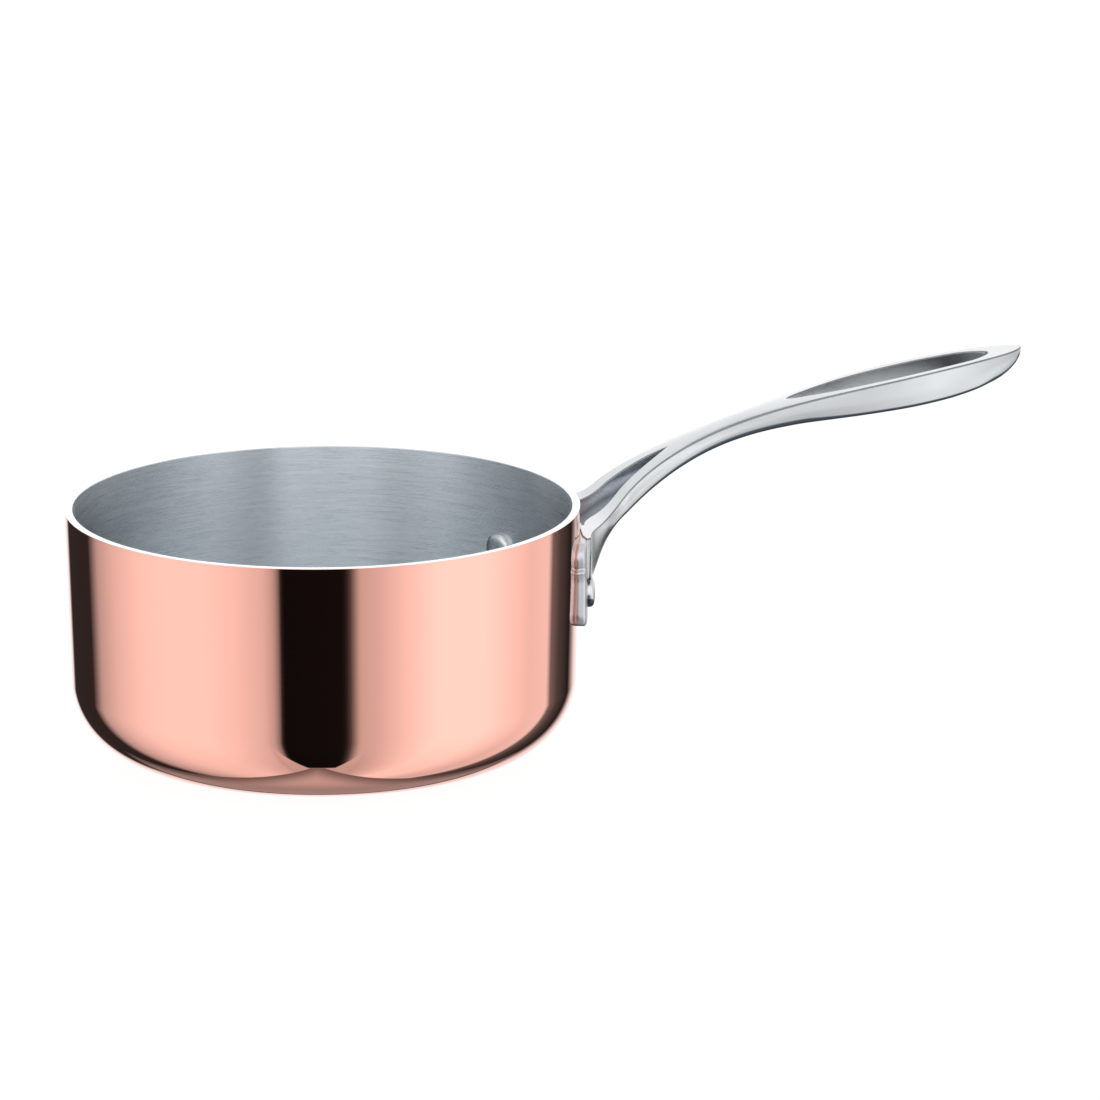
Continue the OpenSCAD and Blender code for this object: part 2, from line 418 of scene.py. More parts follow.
# %% Mix the copper
copper_material, tree = new_material("polished_copper")
lines = buffing_lines(tree, 6.0, 2600.0)
patches = cloud(tree, 28.0)
copper_colour = tinted(tree, patches, (0.93, 0.475, 0.392), (0.915, 0.465, 0.38))
copper_roughness = between(tree, patches, 0.3, 0.7, 0.025, 0.045)
metal(tree, copper_colour, copper_roughness, bumped(tree, lines, 0.02, 0.00001))
print("copper nodes:", len(tree.nodes))

# %% [markdown]
# ## Finish: brushed steel for the lining
#
# The inside is brushed while the pan turns, so its scratches run round it.
# A scratch spreads light across itself: the reflection of each bright wall is
# drawn up and down into a soft stripe, while its left and right edges stay
# fairly firm. An anisotropic shader with a tangent round the axis does that,
# and a stretched noise draws the scratches themselves.

# %% Mix the brushed steel
lining_material, tree = new_material("brushed_steel")
scratches = buffing_lines(tree, 3.0, 2400.0)
fine_scratches = buffing_lines(tree, 9.0, 6500.0)
brushed = calc(tree, "MULTIPLY_ADD", fine_scratches, 0.5, calc(tree, "MULTIPLY", scratches, 0.5))
brightness = between(tree, brushed, 0.35, 0.65)
lining_colour = tinted(tree, brightness, (0.58, 0.62, 0.655), (0.68, 0.715, 0.745))
lining_roughness = between(tree, brushed, 0.3, 0.7, 0.25, 0.31)
round_axis = add_node(tree, "ShaderNodeTangent", direction_type="RADIAL", axis="Z").outputs[0]
scratched = {"Anisotropic": 1.0, "Anisotropic Rotation": 0.25, "Tangent": round_axis}
lining_bump = bumped(tree, brushed, 0.05, 0.00002)
metal(tree, lining_colour, lining_roughness, lining_bump, **scratched)
print("lining nodes:", len(tree.nodes))

# %% [markdown]
# ## Finish: the cut edge of the rim
#
# At the rim the sandwich is cut and faced flat, so the aluminium shows as a
# bright satin ring with turning marks.

# %% Mix the faced aluminium
core_material, tree = new_material("faced_aluminium")
marks = buffing_lines(tree, 2.0, 5000.0)
core_colour = tinted(tree, marks, (0.76, 0.77, 0.78), (0.84, 0.85, 0.86))
core_roughness = between(tree, marks, 0.3, 0.7, 0.2, 0.3)
metal(tree, core_colour, core_roughness, bumped(tree, marks, 0.1, 0.00002))
print("aluminium nodes:", len(tree.nodes))

# %% [markdown]
# ## Finish: polished cast steel
#
# The handle is cast, ground and polished by hand. Its faces are bright but not
# flat: a slow ripple bends the reflections, and hairline scratches run in
# every direction. Faces that look down are painted greyer, which is painted
# shade, and the underside is painted near black, a painted shade that draws the
# dark line under the handle. The same recipe with other numbers gives the satin
# lug and the rivets, and, much darker, the rounded edges, where the dark is a
# painted reflection. The pocket between the arms can't be reached by the wheel
# at all and keeps the casting's sandy surface; its dark colour is painted shade.

# %% Mix the polished steel
# Painted shade: faces that look down are painted greyer, and the underside is painted near black.
DOWN_FACING_SHADE = 0.8
DOWN_FACING_SHADE_SLOPE = (0.05, -0.3)
UNDER_SHADE_SLOPE = (-0.16, -0.32)
LUG_UNDER_SHADE_SLOPE = (-0.6, -0.9)
PAINTED_UNDER_SHADE = ((0.035, 0.045, 0.06), (0.06, 0.075, 0.095))


def steel_with_painted_shade(name, light, dark, roughness, ripple, under_shade_slope=UNDER_SHADE_SLOPE):
    """Hand-polished steel with painted shade: greyer facing down, painted near black underneath."""
    material, tree = new_material(name)
    waves = cloud(tree, 120.0, 1.0)
    grain = cloud(tree, 2500.0, 4.0)
    facing = add_node(tree, "ShaderNodeNewGeometry").outputs["Normal"]
    facing_up = add_node(tree, "ShaderNodeSeparateXYZ", {0: facing}).outputs[2]
    polished = tinted(tree, waves, light, dark)
    grey = tinted(tree, waves, [v * DOWN_FACING_SHADE for v in light], [v * DOWN_FACING_SHADE for v in dark])
    # Painted shade by facing: the greyer copy on faces that look down, near black underneath.
    bare = tinted(tree, between(tree, facing_up, *DOWN_FACING_SHADE_SLOPE), polished, grey)
    painted_under_shade_colour = tinted(tree, grain, *PAINTED_UNDER_SHADE)
    colour = tinted(tree, between(tree, facing_up, *under_shade_slope), bare, painted_under_shade_colour)
    normal = bumped(tree, grain, 0.04, 0.00002, bumped(tree, waves, ripple, 0.0004))
    metal(tree, colour, between(tree, grain, 0.3, 0.7, roughness, roughness * 1.6), normal)
    print(f"{name}: {len(tree.nodes)} nodes")
    return material


# Each steel below carries that painted shade on its down-facing faces and its underside.
handle_material = steel_with_painted_shade(
    "polished_cast_steel", (0.56, 0.575, 0.59), (0.51, 0.525, 0.54), 0.16, 0.05
)
# The lug's painted near-black shade starts only on faces that look steeply down.
lug_material = steel_with_painted_shade(
    "satin_cast_steel", (0.60, 0.62, 0.64), (0.54, 0.56, 0.585), 0.3, 0.05, LUG_UNDER_SHADE_SLOPE
)
# The rounded edges and the slot's lips: the same steel painted much darker, a painted dark
# reflection.
painted_dark_edge_material = steel_with_painted_shade(
    "painted_dark_edge_steel", (0.26, 0.28, 0.30), (0.20, 0.22, 0.24), 0.2, 0.02
)
rivet_material = steel_with_painted_shade(
    "polished_rivet_steel", (0.66, 0.675, 0.69), (0.60, 0.615, 0.63), 0.22, 0.03
)

# %% Mix the as-cast steel, its dark colour painted shade in the pocket
cast_steel_with_pocket_shade, tree = new_material("as_cast_steel_pocket_shade")
sand = cloud(tree, 1500.0, 4.0)
# The sand and roughness are the casting's own surface. The dark colour is painted shade in the
# pocket.
cast_colour_and_pocket_shade = tinted(tree, cloud(tree, 200.0), (0.22, 0.25, 0.29), (0.33, 0.36, 0.40))
cast_roughness = between(tree, sand, 0.3, 0.7, 0.38, 0.55)
metal(tree, cast_colour_and_pocket_shade, cast_roughness, bumped(tree, sand, 0.35, 0.0002))
print("as-cast nodes:", len(tree.nodes))

# %% [markdown]
# ## The pan's three layers
#
# Each layer is turned on a lathe in effect: a half section spun round the
# axis. The section is drawn with true arcs, so its surface direction is known
# exactly at every point. Handing those directions to the mesh as its normals
# keeps a mirror finish free of the ripples that averaged normals would give.

# %% Read the pan's sizes
WALL_LEAN = math.radians(1.4)
CORNER_R = 23.0
COPPER_T = 0.5
CORE_T = 1.5
LINER_T = 0.5

_, copper_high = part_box("copper_skin")
rim_r = copper_high.x / MM
pan_h = copper_high.z / MM
wall_t = COPPER_T + CORE_T + LINER_T


def wall_r(z):
    """The wall's outside radius at a height, in mm."""
    return rim_r - (pan_h - z) * math.tan(WALL_LEAN)


corner_x = wall_r(CORNER_R) - CORNER_R / math.cos(WALL_LEAN)
print(f"rim radius {rim_r:.1f}, height {pan_h:.1f}, corner centre at {corner_x:.2f}")

# %% Draw a layer's half section
CORNER_STEPS = 40
EDGE_STEPS = 5
WALL_STEPS = 14
BASE_RINGS = [0.0, 12.0, 26.0, 40.0, 50.0]


def arc_points(centre, radius, start, end, steps):
    """Points on an arc with their outward directions, as (r, z, nr, nz)."""
    points = []
    for step in range(steps + 1):
        angle = math.radians(start + (end - start) * step / steps)
        out_r, out_z = math.cos(angle), math.sin(angle)
        points.append((centre[0] + radius * out_r, centre[1] + radius * out_z, out_r, out_z))
    return points


def shell_side(inset):
    """One face of the sandwich, from the base's centre up to the rim, its directions outward."""
    lean = math.degrees(WALL_LEAN)
    points = [(ring, inset, 0.0, -1.0) for ring in BASE_RINGS]
    points += arc_points((corner_x, CORNER_R), CORNER_R - inset, -90.0, -lean, CORNER_STEPS)
    foot = points[-1]
    top = (rim_r - inset / math.cos(WALL_LEAN), pan_h)
    for step in range(1, WALL_STEPS + 1):
        share = step / WALL_STEPS
        place = (foot[0] + (top[0] - foot[0]) * share, foot[1] + (top[1] - foot[1]) * share)
        points.append((*place, foot[2], foot[3]))
    return points


def layer_section(outer_inset, inner_inset, outer_edge, inner_edge):
    """A layer's closed half section, its two rim edges rounded."""
    lean = math.degrees(WALL_LEAN)
    outer = shell_side(outer_inset)
    inner = [(r, z, -nr, -nz) for r, z, nr, nz in shell_side(inner_inset)]
    outer_top = (outer[-1][0] - outer_edge * (1 + math.sin(WALL_LEAN)), pan_h - outer_edge)
    inner_top = (inner[-1][0] + inner_edge * (1 - math.sin(WALL_LEAN)), pan_h - inner_edge)
    rim = arc_points(outer_top, outer_edge, -lean, 90.0, EDGE_STEPS)
    rim += arc_points(inner_top, inner_edge, 90.0, 180.0 - lean, EDGE_STEPS)
    return outer[:-1] + rim + inner[-2::-1]


# %% Spin a section into a mesh


def spin_section(section, turns):
    """Spins a section of (r, z, nr, nz) round Z. Returns points, faces and directions."""
    points, directions, rings, faces = [], [], [], []
    for r, z, out_r, out_z in section:
        first = len(points)
        count = 1 if r < 1e-6 else turns
        for step in range(count):
            angle = 2 * math.pi * step / turns
            points.append((r * math.cos(angle), r * math.sin(angle), z))
            directions.append((out_r * math.cos(angle), out_r * math.sin(angle), out_z))
        rings.append([first + (step if count > 1 else 0) for step in range(turns)])
    for low, high in zip(rings, rings[1:]):
        for step in range(turns):
            after = (step + 1) % turns
            corners = [low[step], low[after], high[after], high[step]]
            faces.append([c for n, c in enumerate(corners) if c not in corners[:n]])
    return points, faces, directions


def make_piece(name, points, faces, materials, node, directions=None, face_materials=None):
    """Makes a mesh object from points in mm, hangs it on the root body, hides the part it replaces.
    """
    mesh = bpy.data.meshes.new(name)
    mesh.from_pydata([Vector(p) * MM for p in points], [], faces)
    for material in materials:
        mesh.materials.append(material)
    if face_materials is not None:
        mesh.polygons.foreach_set("material_index", face_materials)
    mesh.shade_smooth()
    if directions is not None:
        mesh.normals_split_custom_set_from_vertices(directions)
    mesh.update()
    piece = bpy.data.objects.new(name, mesh)
    bpy.context.scene.collection.objects.link(piece)
    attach(piece, "root")
    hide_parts(node)
    print(f"{name}: {len(mesh.vertices)} points, {len(mesh.polygons)} faces")
    return piece


# %% [markdown]
# ## The rim
#
# At the rim the sandwich is cut through and faced flat, so the three layers
# show as one silvery band. The copper's own top is far too thin to show its
# colour, so the few faces at its top take the faced metal's finish. The
# lining's edge is softened most, because a spoon is knocked on it every day.

# %% Turn the three layers
PAN_TURNS = 288
SOFT_EDGE = 0.28
COPPER_EDGE = 0.12
TIGHT_EDGE = 0.04
core_outside = COPPER_T
core_inside = COPPER_T + CORE_T

section = layer_section(0.0, core_outside, COPPER_EDGE, TIGHT_EDGE)
points, faces, directions = spin_section(section, PAN_TURNS)
on_rim = [int(min(points[k][2] for k in face) > pan_h - COPPER_EDGE / 2) for face in faces]
metals = [copper_material, core_material]
make_piece("copper_shell", points, faces, metals, "copper_skin", directions, on_rim)

section = layer_section(core_outside, core_inside, TIGHT_EDGE, TIGHT_EDGE)
points, faces, directions = spin_section(section, PAN_TURNS)
metals = [core_material]
make_piece("aluminium_middle", points, faces, metals, "aluminium_core", directions)

section = layer_section(core_inside, wall_t, TIGHT_EDGE, SOFT_EDGE)
points, faces, directions = spin_section(section, PAN_TURNS)
metals = [lining_material]
make_piece("steel_lining", points, faces, metals, "steel_liner", directions)

# %% [markdown]
# ## The rivets
#
# A rivet is one solid: a pin through the wall and the handle's lug, with a low
# round head hammered up at each end. It is turned like the pan, then laid down
# so that its axis points out from the pan.

# %% Turn a rivet and lay it in place
RIVET_SPACING = 60.0
HEAD_HEIGHT = 2.3
SHANK_R = 3.0
LUG_T = 3.0
HEAD_STEPS = 16
HEAD_SINK = 0.4
HEAD_SQUARENESS = 3.6
RIVET_TURNS = 64

rivet_low, rivet_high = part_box("rivet_left")
rivet_z = (rivet_low.z + rivet_high.z) / 2 / MM
head_r = (rivet_high.z - rivet_low.z) / 2 / MM
seat_r = wall_r(rivet_z)
lug_r = seat_r + LUG_T
rivet_turn = math.asin(RIVET_SPACING / 2 / seat_r)
print(f"rivets at height {rivet_z:.1f}, turned {math.degrees(rivet_turn):.1f} degrees")
print(f"rivet head radius {head_r:.1f}")


def head_section(foot, height, squareness):
    """Half a head's outline from its foot to its crown: a circle pushed out towards a box."""
    power = 2 / squareness
    sunk = foot - math.copysign(HEAD_SINK, height)
    points = [(SHANK_R, sunk), (head_r, sunk)]
    for step in range(HEAD_STEPS + 1):
        angle = math.pi / 2 * step / HEAD_STEPS
        points.append((head_r * math.cos(angle) ** power, foot + height * math.sin(angle) ** power))
    points[-1] = (0.0, foot + height)
    return points


inside_head = head_section(seat_r - wall_t, -HEAD_HEIGHT, HEAD_SQUARENESS)
outside_head = head_section(lug_r, HEAD_HEIGHT, HEAD_SQUARENESS)
rivet_section = [(r, s, 0.0, 1.0) for r, s in inside_head[::-1] + outside_head]
rivet_points, rivet_faces, _ = spin_section(rivet_section, RIVET_TURNS)


def lay_rivet(turn):
    """Turns a rivet's points from standing on Z to lying along the radius at an angle."""
    out = Vector((math.cos(turn), math.sin(turn), 0))
    side = Vector((-math.sin(turn), math.cos(turn), 0))
    lift = Vector((0, 0, rivet_z))
    return [lift + out * z + side * x + Vector((0, 0, y)) for x, y, z in rivet_points]


metals = [rivet_material]
left, right = lay_rivet(rivet_turn), lay_rivet(-rivet_turn)
make_piece("left_rivet", left, rivet_faces, metals, "rivet_left")
make_piece("right_rivet", right, rivet_faces, metals, "rivet_right")

# %% [markdown]
# ## The handle's lines
#
# Seen from above, the handle is an outline with two more inside it: a pocket
# sunk between the two arms at its root, and the slot it hangs by, which goes
# right through. Seen from the side, it climbs from the lug, narrows at the
# waist and swells into the grip. Each line is a cubic curve, measured from the
# place on the wall between the two rivets.

# %% Draw the handle's lines
handle_low, handle_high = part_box("handle")
reach = handle_high.x / MM - seat_r
rise = handle_high.z / MM - rivet_z
lug_below = rivet_z - handle_low.z / MM
LUG_ABOVE = 18.0
LUG_PAST_RIVET = 12.3
WAIST_X = 56.7
WAIST_HALF = 5.4
NECK = (18.7, 11.7)
NECK_RISE = 24.7
ROOT_HALF = 32.0
FORK_HALF = 18.5
FORK_END = 37.7
GRIP_HALF = 10.8
TIP_LENGTH = 42.5
SLOT_START = 78.7
SLOT_RAIL = 3.5
SLOT_LEAD = 22.0
SLOT_ROUND = 9.0
SLOT_RIM = 12.0
grip_x = reach - TIP_LENGTH
slot_end = reach - SLOT_RIM
root_x = math.sqrt(lug_r**2 - ROOT_HALF**2) - seat_r
print(f"handle reaches {reach:.1f} out and {rise:.1f} up")


def curve(a, b, c, d, steps=60):
    """Points along a cubic curve from a to d, steered by b and c."""
    share = np.linspace(0, 1, steps + 1)[:, None]
    left = 1 - share
    a, b, c, d = (np.array(p, float) for p in (a, b, c, d))
    return left**3 * a + 3 * left**2 * share * b + 3 * left * share**2 * c + share**3 * d


def grip_half(x):
    """Half the handle's width between the waist and the tip."""
    if x < grip_x:
        wave = math.cos(math.pi * (x - WAIST_X) / (grip_x - WAIST_X))
        return WAIST_HALF + (GRIP_HALF - WAIST_HALF) * (1 - wave) / 2
    return GRIP_HALF * math.sqrt(max(0.0, 1 - ((x - grip_x) / TIP_LENGTH) ** 2))


def slot_half(x):
    """Half the hanging slot's width, pointed towards the pan and round at its end."""
    lead = min(1.0, (x - SLOT_START) / SLOT_LEAD)
    end = max(0.0, (x - slot_end + SLOT_ROUND) / SLOT_ROUND)
    pointed = (1 - (1 - lead) ** 2) ** 0.6
    return (grip_half(x) - SLOT_RAIL) * pointed * math.sqrt(max(0.0, 1 - end**2))


root_side = np.vstack([
    curve((root_x, ROOT_HALF), (5, ROOT_HALF - 9), (10, NECK[1] + 1.6), NECK)[:-1],
    curve(NECK, (NECK[0] + 8, NECK[1] - 3.0), (WAIST_X - 15, WAIST_HALF), (WAIST_X, WAIST_HALF)),
])  # fmt: skip
fork_side = curve((1, FORK_HALF), (6.5, 4.6), (FORK_END - 19.7, 6.6), (FORK_END, 0))
belly = (grip_x - 1, rise - 14.2)
top_line = np.vstack([
    curve((0, LUG_ABOVE), (8, LUG_ABOVE), (11.4, NECK_RISE - 7), (NECK[0], NECK_RISE))[:-1],
    curve((NECK[0], NECK_RISE), (42, NECK_RISE + 18), (98, rise - 5.3), (reach, rise)),
])  # fmt: skip
under_line = np.vstack([
    curve((0, LUG_ABOVE - 13), (49, belly[1] - 1.3), (67, belly[1] - 4.5), belly)[:-1],
    curve(belly, (grip_x + 20, belly[1] + 2.2), (reach - 1.5, rise - 9), (reach, rise)),
])  # fmt: skip

# %% [markdown]
# ## The handle's body
#
# The body is lofted like a boat: section after section, each standing across
# the bar between its inner wall and its outer wall. Only the half on one side
# of the middle is drawn, and it is mirrored, so both sides match exactly.
# Along the slot the section is a closed ring. Along the pocket it runs over a
# thin floor to the middle, and where the bar is solid it is simply open there.
# The sides lean out a little below, as a casting's draft does, and small radii
# along the edges catch the light the way a hand-finished casting does.

# %% Measure the body's small shapes
TOP_EDGE = 0.5
UNDER_EDGE = 2.4
INNER_EDGE = 0.45
SIDE_BULGE = 0.3
SIDE_LEAN = 0.05
ROOT_LEAN = 0.1
UNDER_DROP = 0.45
ROOT_FLARE = 3.0
UNDER_FLARE = 1.0
WEB_T = 3.0
POCKET_FILLET = 3.0
bend = [math.pi / 2 * step / 5 for step in range(6)]


def crown_at(x):
    """How far the top swells in the middle: most at the waist, gone by the grip."""
    swell_in = min(1.0, max(0.0, (x - 12) / 30))
    swell_out = min(1.0, max(0.0, (115 - x) / 40))
    return 0.9 * swell_in * swell_out


def heights_at(x):
    """The underside and the top of the handle at a distance from the wall."""
    drop = UNDER_DROP * min(1.0, max(0.0, (reach - x) / 30))
    under = np.interp(x, under_line[:, 0], under_line[:, 1]) - drop
    return under, np.interp(x, top_line[:, 0], top_line[:, 1])


def flare_at(x, y, radius):
    """How far a surface swells into the lug, as a fillet of that radius."""
    away = math.hypot(x + seat_r, y) - lug_r
    if away >= radius:
        return 0.0
    return radius - math.sqrt(max(0.0, radius**2 - (radius - max(0.0, away)) ** 2))


# %% Build one section across the bar
TOP_POINTS = 10
SIDE_POINTS = 8
FLOOR_POINTS = 8


def across_points(start, end, count):
    """Places from one end of a straight line to the other, the last one left out."""
    return [start + (end - start) * step / count for step in range(count)]


def bar_section(kind, middle, inner, outer, softness):
    """A section's points and zones, for a pocket, solid or ring. softness rounds its lip."""
    middle, inner, outer = (np.array(point, float) for point in (middle, inner, outer))
    width = np.linalg.norm(outer - inner)
    across = (outer - inner) / max(width, 1e-9)
    under_out, top_out = heights_at(outer[0])
    under_in, top_in = heights_at(inner[0])
    tall = max(0.0, top_out - under_out)
    top_r = min(TOP_EDGE, tall * 0.3, width * 0.3)
    under_r = min(UNDER_EDGE, tall * 0.45, width * 0.45)
    lip_r = min(INNER_EDGE * softness, width * 0.2)
    bulge = min(SIDE_BULGE, tall * 0.06)
    lean = tall * (SIDE_LEAN + ROOT_LEAN * max(0.0, 1 - outer[0] / 28))
    loop = []

    def put(zone, spot, z):
        loop.append((zone, spot[0], spot[1], z))

    def put_top(zone, along, drop):
        spot = inner + across * along
        bow = 1 - (spot[1] / max(outer[1], 1e-9)) ** 2
        put(zone, spot, heights_at(spot[0])[1] - drop + crown_at(spot[0]) * max(0.0, bow))

    def put_under(zone, spot, lift):
        put(zone, spot, heights_at(spot[0])[0] + lift)

    if kind == "pocket":
        floor_length = np.linalg.norm(inner - middle)
        outward = (inner - middle) / max(floor_length, 1e-9)
        fillet = min(POCKET_FILLET, floor_length * 0.6, (top_in - under_in - WEB_T) * 0.8)
        for along in across_points(0.0, floor_length - fillet, FLOOR_POINTS):
            put_under("wall", middle + outward * along, WEB_T)
        for angle in bend:
            along = floor_length - fillet * (1 - math.sin(angle))
            put_under("wall", middle + outward * along, WEB_T + fillet * (1 - math.cos(angle)))
        wall_foot = under_in + WEB_T + fillet
        lip_z = top_in - lip_r
    if kind == "ring":
        for angle in bend[1:]:
            spot = inner + across * (lip_r * (1 - math.sin(angle)))
            put_under("wall", spot, lip_r * (1 - math.cos(angle)))
        wall_foot = under_in + lip_r
        lip_z = top_in - lip_r
    if kind != "solid":
        for z in across_points(wall_foot, lip_z, SIDE_POINTS)[1:]:
            put("wall", inner, z)
        for angle in bend[:-1]:
            put_top("lip", lip_r * (1 - math.cos(angle)), lip_r * (1 - math.sin(angle)))
    start = 0.0 if kind == "solid" else lip_r
    for along in across_points(start, width - top_r - bulge, TOP_POINTS):
        put_top("top", along, 0.0)
    for angle in bend:
        zone = "side" if angle == bend[-1] else "edge"
        put_top(zone, width - bulge - top_r * (1 - math.sin(angle)), top_r * (1 - math.cos(angle)))
    for share in across_points(0.0, 1.0, SIDE_POINTS)[1:]:
        spot = outer + across * (lean * share - bulge * (2 * share - 1) ** 2)
        put("side", spot, top_out - top_r - (tall - top_r - under_r) * share)
    for angle in bend:
        along = width + lean - bulge - under_r * (1 - math.cos(angle))
        put_under("under", inner + across * along, under_r * (1 - math.sin(angle)))
    last = inner + across * (width + lean - bulge - under_r)
    goal = inner + across * lip_r if kind == "ring" else middle
    for share in across_points(0.0, 1.0, TOP_POINTS)[1:] + [1.0]:
        put_under("under", last + (goal - last) * share, 0.0)
    return loop


print("a solid section has", len(bar_section("solid", (50, 0), (50, 0), (50, 6), 0)), "points")

# %% Pair the inner and outer lines into stations
FORK_STATIONS = 44
WAIST_STATIONS = 22
SLOT_STATIONS = 60
END_STATIONS = 26
ROOT_START = -1.4
MIDDLE_START = 1.6


def evenly(line, count):
    """Points spaced evenly along a drawn line."""
    steps = np.linalg.norm(np.diff(line, axis=0), axis=1)
    gone = np.concatenate([[0], np.cumsum(steps)])
    wanted = np.linspace(0, gone[-1], count)
    return np.column_stack([np.interp(wanted, gone, line[:, k]) for k in (0, 1)])


outer_root = root_side[root_side[:, 0] <= FORK_END]
fork_outer_end = (FORK_END, float(np.interp(FORK_END, root_side[:, 0], root_side[:, 1])))
outer_root = np.vstack([[(root_x - 2.4, ROOT_HALF + 1.0)], outer_root, [fork_outer_end]])
fork_inner = np.vstack([[(ROOT_START, FORK_HALF + 1.0)], fork_side])
fork_stations = []
for inner, outer in zip(evenly(fork_inner, FORK_STATIONS), evenly(outer_root, FORK_STATIONS)):
    along = (inner[0] - ROOT_START) / (FORK_END - ROOT_START)
    middle_x = MIDDLE_START + (FORK_END - MIDDLE_START) * along
    fork_stations.append(((middle_x, 0.0), inner, outer))

waist_stations = []
for x in np.linspace(FORK_END, SLOT_START, WAIST_STATIONS):
    half = float(np.interp(x, root_side[:, 0], root_side[:, 1])) if x < WAIST_X else grip_half(x)
    waist_stations.append(((x, 0.0), (x, 0.0), (x, half)))

slot_stations = []
slot_flat_end = slot_end - SLOT_ROUND
for share in np.linspace(0, 1, SLOT_STATIONS):
    x = SLOT_START + (slot_flat_end - SLOT_START) * share**1.6
    slot_stations.append(((x, 0.0), (x, slot_half(x)), (x, grip_half(x))))
for share in np.linspace(0, 1, END_STATIONS)[1:]:
    sweep = math.sin(math.pi / 2 * share)
    inner_x = slot_flat_end + SLOT_ROUND * sweep
    outer_x = slot_flat_end + (reach - slot_flat_end) * sweep
    inner, outer = (inner_x, slot_half(inner_x)), (outer_x, grip_half(outer_x))
    slot_stations.append(((inner_x, 0.0), inner, outer))
print("stations:", len(fork_stations), len(waist_stations), len(slot_stations))

# %% Loft the body
body_points, body_faces, body_zones = [], [], []


def flared(zone, x, y, z):
    """Moves a root point outward and down where the arm runs into the lug.

    A point on the middle line stays there, so the two halves still meet.
    """
    if zone in ("side", "edge", "under"):
        y += flare_at(x, y, ROOT_FLARE) * min(1.0, y / 6)
    if zone == "under":
        z -= flare_at(x, y, UNDER_FLARE)
    return x, y, z


def loft(stations, kind, softness):
    """Joins one section to the next, and remembers each face's zone."""
    previous = None
    for number, (middle, inner, outer) in enumerate(stations):
        section = bar_section(kind, middle, inner, outer, softness(number))
        first = len(body_points)
        for zone, x, y, z in section:
            x, y, z = flared(zone, x, y, z)
            body_points.append((x + seat_r, y, z + rivet_z))
        count = len(section)
        if previous is not None:
            for k in range(count if kind == "ring" else count - 1):
                after = (k + 1) % count
                body_faces.append([previous + k, previous + after, first + after, first + k])
                body_zones.append(section[k][0])
        previous = first
    return count


FADE_STATIONS = 6
count = loft(fork_stations, "pocket", lambda n: min(1.0, (FORK_STATIONS - 1 - n) / FADE_STATIONS))
root_cap = list(range(count))
fork_face_count = len(body_faces)
loft(waist_stations, "solid", lambda n: 0.0)
loft(slot_stations, "ring", lambda n: min(1.0, n / FADE_STATIONS))
print("half body:", len(body_points), "points,", len(body_faces), "faces")

# %% [markdown]
# ## The lug
#
# The lug is the plate that the rivets pull against the wall. It is bent to the
# wall, and its corners are round. Its two ends slope in, and each has a round
# nose above a small notch. Its top lies a hair below the arms' tops, so that
# no two faces fight over the same place. It is built from outlines drawn one
# inside the next: the outermost go down the plate's side, the next ones over
# the rounded edge, and the rest fill the face.

# %% Build the lug
LUG_CORNER = 4.5
LUG_EDGE = 1.0
LUG_BEVEL = 0.9
LUG_SINK = 0.12
LUG_BACK = 0.05
BEVEL_TURN = math.radians(21.0)
BEVEL_STEPS = 6
END_LENGTH = 9.0
END_BLEND = 7.0
FILL_INSETS = [2.6, 3.8, 5.2, 7.0, 9.0, 11.0, 12.8]
LONG_STEPS = 56
SHORT_STEPS = 44
ARC_STEPS = 8
NOSE_MIDDLE = 9.2
NOSE_HALF = 4.5
NOSE_REACH = 1.3
NOTCH_START = 1.0
NOTCH_DEEP = 2.2
lug_half_length = (rivet_turn + LUG_PAST_RIVET / seat_r) * lug_r
lug_half_height = (lug_below + LUG_ABOVE - LUG_SINK) / 2
lug_mid_z = rivet_z + (LUG_ABOVE - LUG_SINK - lug_below) / 2
print(f"lug {2 * lug_half_length:.1f} long round the wall, {2 * lug_half_height:.1f} high")


def lug_outline(inset):
    """A rounded rectangle, moved in from the lug's edge, as (along, up) pairs."""
    half_long, half_tall = lug_half_length - inset, lug_half_height - max(0.0, inset - LUG_BEVEL)
    radius = max(LUG_CORNER - inset, min(0.4, half_tall))
    corners = [(1, 1, 0), (-1, 1, 90), (-1, -1, 180), (1, -1, 270)]
    outline = []
    for number, (side_x, side_y, start) in enumerate(corners):
        centre = np.array([side_x * (half_long - radius), side_y * (half_tall - radius)])
        turn = np.radians(start + 90 * np.arange(ARC_STEPS + 1) / ARC_STEPS)
        arc = centre + radius * np.column_stack([np.cos(turn), np.sin(turn)])
        outline += list(arc)
        next_x, next_y, next_start = corners[(number + 1) % 4]
        next_turn = math.radians(next_start)
        next_centre = np.array([next_x * (half_long - radius), next_y * (half_tall - radius)])
        target = next_centre + radius * np.array([math.cos(next_turn), math.sin(next_turn)])
        steps = LONG_STEPS if number % 2 == 0 else SHORT_STEPS
        outline += [arc[-1] + (target - arc[-1]) * k / steps for k in range(1, steps)]
    return outline


def end_shape(up):
    """How far the lug's end reaches out: a round nose above, and a notch under it."""
    nose = (up - NOSE_MIDDLE) / NOSE_HALF
    if 0 <= nose < 1:
        return NOSE_REACH * math.sqrt(1 - nose**2)
    if -1 < nose < 0:
        return (NOSE_REACH + NOTCH_DEEP) * math.sqrt(1 - nose**2) - NOTCH_DEEP
    if NOTCH_START < up < NOSE_MIDDLE:
        share = (up - NOTCH_START) / (NOSE_MIDDLE - NOSE_HALF - NOTCH_START)
        return -NOTCH_DEEP * (1 - math.sqrt(1 - share**2))
    return 0.0


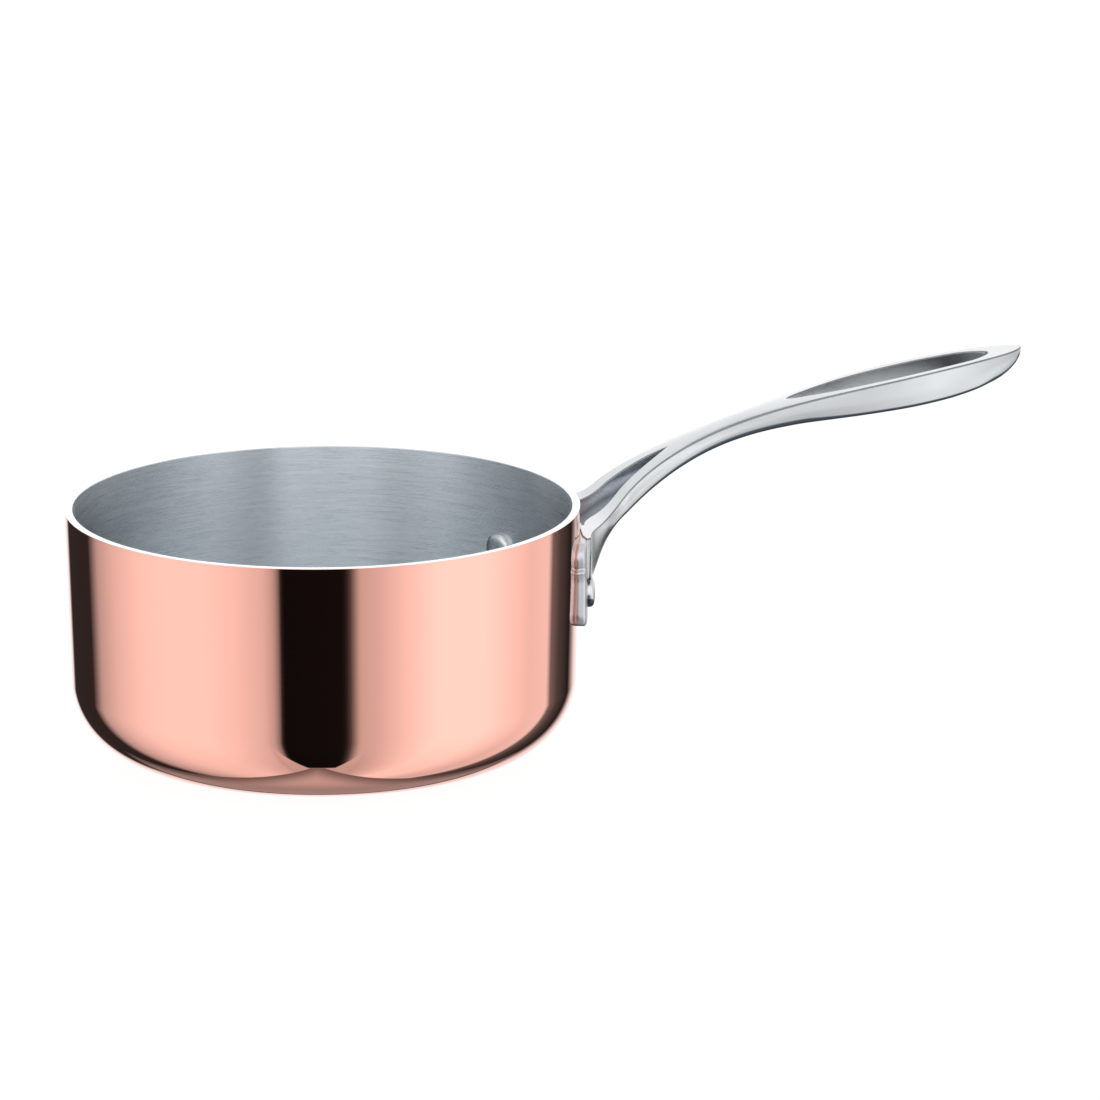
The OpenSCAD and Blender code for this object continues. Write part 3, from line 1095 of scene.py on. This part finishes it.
def on_lug(along, up, depth):
    """A point on the bent lug: depth below its outer face, or on the wall where depth is None."""
    near_end = (abs(along) - lug_half_length + END_LENGTH) / END_BLEND
    near_end = min(1.0, max(0.0, near_end))
    along += math.copysign(end_shape(up) * near_end**2 * (3 - 2 * near_end), along)
    turn = along / lug_r
    z = lug_mid_z + up
    r = wall_r(z) - LUG_BACK if depth is None else lug_r - depth
    return (r * math.cos(turn), r * math.sin(turn), z)


lug_rings = [(0.0, None), (LUG_BEVEL / 2, (LUG_T + 0.65 * LUG_EDGE) / 2)]
for step in range(BEVEL_STEPS + 1):
    angle = BEVEL_TURN + (math.pi / 2 - BEVEL_TURN) * step / BEVEL_STEPS
    inset = LUG_BEVEL + LUG_EDGE * (math.cos(BEVEL_TURN) - math.cos(angle))
    lug_rings.append((inset, LUG_EDGE * (1 - math.sin(angle))))
fill_insets = [*FILL_INSETS, lug_half_height + LUG_BEVEL]
lug_rings += [(inset, 0.0) for inset in fill_insets]
lug_rings = [(inset, None) for inset in fill_insets[::-1] + [1.3]] + lug_rings

lug_points, lug_faces = [], []
for inset, depth in lug_rings:
    lug_points += [on_lug(along, up, depth) for along, up in lug_outline(inset)]
ring_count = len(lug_outline(0.0))
for ring in range(len(lug_rings) - 1):
    for k in range(ring_count):
        after = (k + 1) % ring_count
        a, b = ring * ring_count, (ring + 1) * ring_count
        lug_faces.append([a + k, a + after, b + after, b + k])
print("lug:", len(lug_points), "points")

# %% [markdown]
# ## The handle in one piece
#
# On the real handle the arms and the lug are one casting. Here they are two
# closed skins that overlap inside the metal, kept in one mesh, because cutting
# one out of the other would leave ragged edges where the arms meet the bent
# plate. Each face takes the finish of its zone: polished, the rounded edges
# painted dark as a painted reflection, or as cast in the pocket, painted dark
# there as painted shade.

# %% Join the body and the lug, and mirror the body
MERGE_WITHIN = 0.00002
SLIVER = 0.00001
HANDLE_FINISHES = [handle_material, cast_steel_with_pocket_shade, painted_dark_edge_material, lug_material]
# Pocket walls take the steel painted dark as pocket shade. Edges and lips take the steel painted
# dark as reflection.
FINISH_OF_ZONE = {"wall": 1, "edge": 2, "lip": 2}
LUG_FINISH = 3
handle_bm = bmesh.new()
corners = [handle_bm.verts.new(Vector(p) * MM) for p in body_points]
mirror_corners = [handle_bm.verts.new(Vector((p[0], -p[1], p[2])) * MM) for p in body_points]
for number, face in enumerate(body_faces):
    finish = FINISH_OF_ZONE.get(body_zones[number], 0)
    if number >= fork_face_count and body_zones[number] == "wall":
        finish = 0
    for side in (corners, mirror_corners):
        made = handle_bm.faces.new([side[k] for k in face])
        made.material_index = finish
for side in (corners, mirror_corners):
    handle_bm.faces.new([side[k] for k in root_cap])
bmesh.ops.remove_doubles(handle_bm, verts=handle_bm.verts, dist=MERGE_WITHIN)
bmesh.ops.dissolve_degenerate(handle_bm, edges=handle_bm.edges, dist=SLIVER)
lug_corners = [handle_bm.verts.new(Vector(p) * MM) for p in lug_points]
for face in lug_faces:
    handle_bm.faces.new([lug_corners[k] for k in face]).material_index = LUG_FINISH
bmesh.ops.remove_doubles(handle_bm, verts=lug_corners, dist=MERGE_WITHIN)
bmesh.ops.recalc_face_normals(handle_bm, faces=handle_bm.faces)
open_edges = sum(not edge.is_manifold for edge in handle_bm.edges)
print("handle edges that aren't closed:", open_edges)

handle_mesh = bpy.data.meshes.new("cast_handle")
handle_bm.to_mesh(handle_mesh)
handle_bm.free()
for finish in HANDLE_FINISHES:
    handle_mesh.materials.append(finish)
handle_mesh.shade_smooth()
cast_handle = bpy.data.objects.new("cast_handle", handle_mesh)
bpy.context.scene.collection.objects.link(cast_handle)
steady = cast_handle.modifiers.new("steady_normals", "WEIGHTED_NORMAL")
steady.keep_sharp = True
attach(cast_handle, "root")
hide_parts("handle")
print("handle:", len(handle_mesh.vertices), "points")
